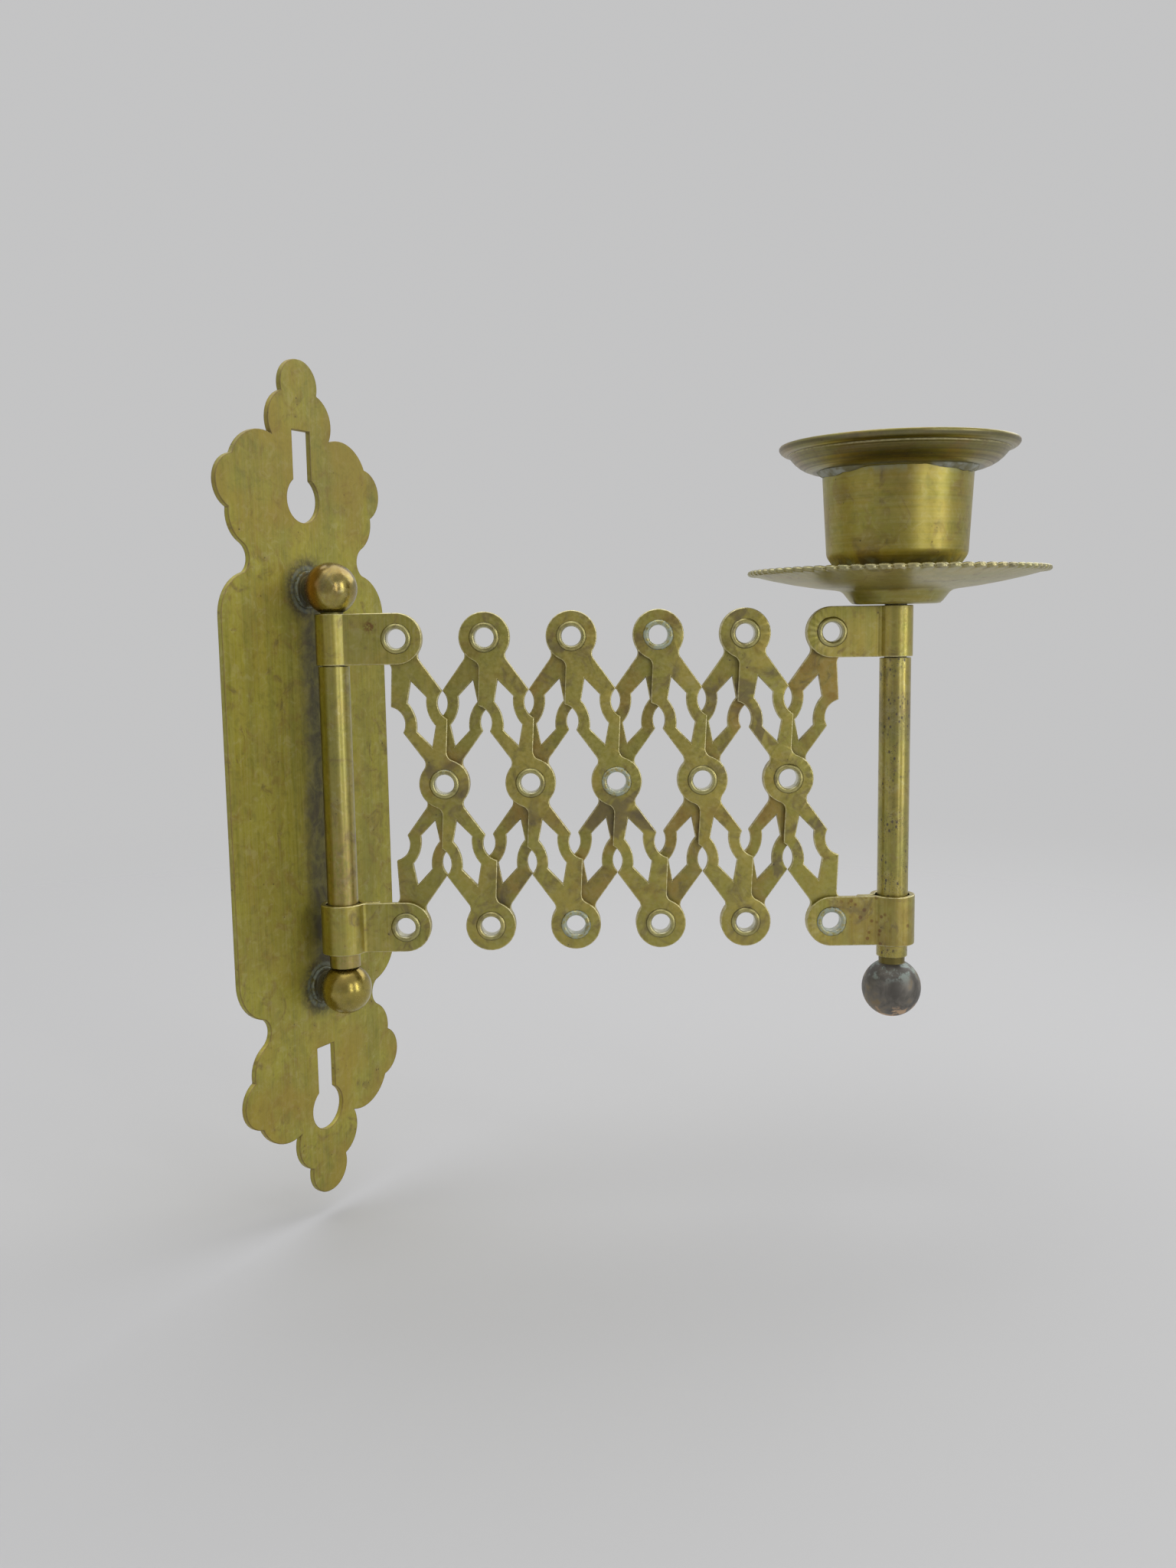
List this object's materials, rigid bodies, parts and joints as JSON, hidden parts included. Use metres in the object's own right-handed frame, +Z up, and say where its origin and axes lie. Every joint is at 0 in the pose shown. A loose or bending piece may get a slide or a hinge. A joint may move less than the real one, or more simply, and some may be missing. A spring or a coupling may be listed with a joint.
{
  "type": "candle wall sconce",
  "caption": "Brass wall sconce with a scalloped keyhole plate, a swinging lazy-tongs arm that extends, and a candle cup over a crimped drip pan.",
  "frame": {"origin": "middle of the wall plate's back face", "axes": "+Z up, +Y into the wall, +X to the right as seen from the room"},
  "size_m": [0.0925, 0.1112, 0.143],
  "materials": {
    "old_brass": "aged, brushed",
    "cup_brass": "worn polish",
    "grey_metal": "tarnished dark grey"
  },
  "bodies": {
    "wall": {"wall_plate": "old_brass", "upper_post": "old_brass", "lower_post": "old_brass", "upper_ball": "cup_brass", "lower_ball": "cup_brass", "hinge_rod": "old_brass", "hinge_tube": "old_brass"},
    "arm": {"top_hinge_clip": "old_brass", "top_hinge_eyelet": "old_brass"},
    "front_1": {"front_link_1": "old_brass", "link_eyelets_1": "old_brass"},
    "back_1": {"back_link_1": "old_brass"},
    "front_2": {"front_link_2": "old_brass", "link_eyelets_2": "old_brass"},
    "back_2": {"back_link_2": "old_brass"},
    "front_3": {"front_link_3": "old_brass", "link_eyelets_3": "old_brass"},
    "back_3": {"back_link_3": "old_brass"},
    "front_4": {"front_link_4": "old_brass", "link_eyelets_4": "old_brass"},
    "back_4": {"back_link_4": "old_brass"},
    "front_5": {"front_link_5": "old_brass", "link_eyelets_5": "old_brass"},
    "back_5": {"back_link_5": "old_brass"},
    "low_hinge": {"bottom_hinge_clip": "old_brass", "bottom_hinge_eyelet": "old_brass"},
    "outer_clip": {"top_candle_clip": "old_brass", "top_candle_eyelet": "old_brass"},
    "low_outer": {"bottom_candle_clip": "old_brass", "bottom_candle_eyelet": "old_brass"},
    "candle": {"candle_rod": "old_brass", "candle_tube": "old_brass", "candle_knob": "grey_metal", "drip_pan": "cup_brass", "candle_cup": "cup_brass", "cup_flange": "cup_brass", "cup_nut": "old_brass"}
  },
  "joints": [
    {"name": "arm_swing", "type": "hinge", "parent": "wall", "child": "arm", "pos_m": [0, -0.0062, 0.0256], "axis": [0, 0, 1], "range_deg": [-105, 43]},
    {"name": "extension", "type": "hinge", "parent": "arm", "child": "front_1", "pos_m": [0.00554, -0.01541, 0.0256], "axis": [-0.8572, -0.515, 0], "range_deg": [-5.7, 37.5]},
    {"name": "middle_pivot_1", "type": "hinge", "parent": "front_1", "child": "back_1", "pos_m": [0.00927, -0.02162, 0.00115], "axis": [-0.8572, -0.515, 0], "range_deg": [-75.5, 11.9]},
    {"name": "top_pivot_1", "type": "hinge", "parent": "back_1", "child": "front_2", "pos_m": [0.013, -0.02783, 0.0256], "axis": [-0.8572, -0.515, 0], "range_deg": [-11.9, 75.5]},
    {"name": "middle_pivot_2", "type": "hinge", "parent": "front_2", "child": "back_2", "pos_m": [0.01673, -0.03404, 0.00115], "axis": [-0.8572, -0.515, 0], "range_deg": [-75.5, 11.9]},
    {"name": "top_pivot_2", "type": "hinge", "parent": "back_2", "child": "front_3", "pos_m": [0.02046, -0.04025, 0.0256], "axis": [-0.8572, -0.515, 0], "range_deg": [-11.9, 75.5]},
    {"name": "middle_pivot_3", "type": "hinge", "parent": "front_3", "child": "back_3", "pos_m": [0.02419, -0.04645, 0.00115], "axis": [-0.8572, -0.515, 0], "range_deg": [-75.5, 11.9]},
    {"name": "top_pivot_3", "type": "hinge", "parent": "back_3", "child": "front_4", "pos_m": [0.02792, -0.05266, 0.0256], "axis": [-0.8572, -0.515, 0], "range_deg": [-11.9, 75.5]},
    {"name": "middle_pivot_4", "type": "hinge", "parent": "front_4", "child": "back_4", "pos_m": [0.03165, -0.05887, 0.00115], "axis": [-0.8572, -0.515, 0], "range_deg": [-75.5, 11.9]},
    {"name": "top_pivot_4", "type": "hinge", "parent": "back_4", "child": "front_5", "pos_m": [0.03538, -0.06508, 0.0256], "axis": [-0.8572, -0.515, 0], "range_deg": [-11.9, 75.5]},
    {"name": "middle_pivot_5", "type": "hinge", "parent": "front_5", "child": "back_5", "pos_m": [0.03911, -0.07129, 0.00115], "axis": [-0.8572, -0.515, 0], "range_deg": [-75.5, 11.9]},
    {"name": "bottom_hinge_clip_pivot", "type": "hinge", "parent": "back_1", "child": "low_hinge", "pos_m": [0.00554, -0.01541, -0.0233], "axis": [-0.8572, -0.515, 0], "range_deg": [-6.2, 38]},
    {"name": "top_candle_clip_pivot", "type": "hinge", "parent": "back_5", "child": "outer_clip", "pos_m": [0.04284, -0.07749, 0.0256], "axis": [-0.8572, -0.515, 0], "range_deg": [-6.2, 38]},
    {"name": "bottom_candle_clip_pivot", "type": "hinge", "parent": "front_5", "child": "low_outer", "pos_m": [0.04284, -0.07749, -0.0233], "axis": [-0.8572, -0.515, 0], "range_deg": [-38, 6.2]},
    {"name": "candle_swivel", "type": "hinge", "parent": "outer_clip", "child": "candle", "pos_m": [0.04837, -0.08671, 0.0256], "axis": [0, 0, 1], "continuous": true}
  ],
  "couplings": [
    {"joint": "middle_pivot_1", "follows": "extension", "ratio": -2},
    {"joint": "top_pivot_1", "follows": "extension", "ratio": 2},
    {"joint": "middle_pivot_2", "follows": "extension", "ratio": -2},
    {"joint": "top_pivot_2", "follows": "extension", "ratio": 2},
    {"joint": "middle_pivot_3", "follows": "extension", "ratio": -2},
    {"joint": "top_pivot_3", "follows": "extension", "ratio": 2},
    {"joint": "middle_pivot_4", "follows": "extension", "ratio": -2},
    {"joint": "top_pivot_4", "follows": "extension", "ratio": 2},
    {"joint": "middle_pivot_5", "follows": "extension", "ratio": -2},
    {"joint": "bottom_hinge_clip_pivot", "follows": "extension", "ratio": 1},
    {"joint": "top_candle_clip_pivot", "follows": "extension", "ratio": 1},
    {"joint": "bottom_candle_clip_pivot", "follows": "extension", "ratio": -1}
  ]
}
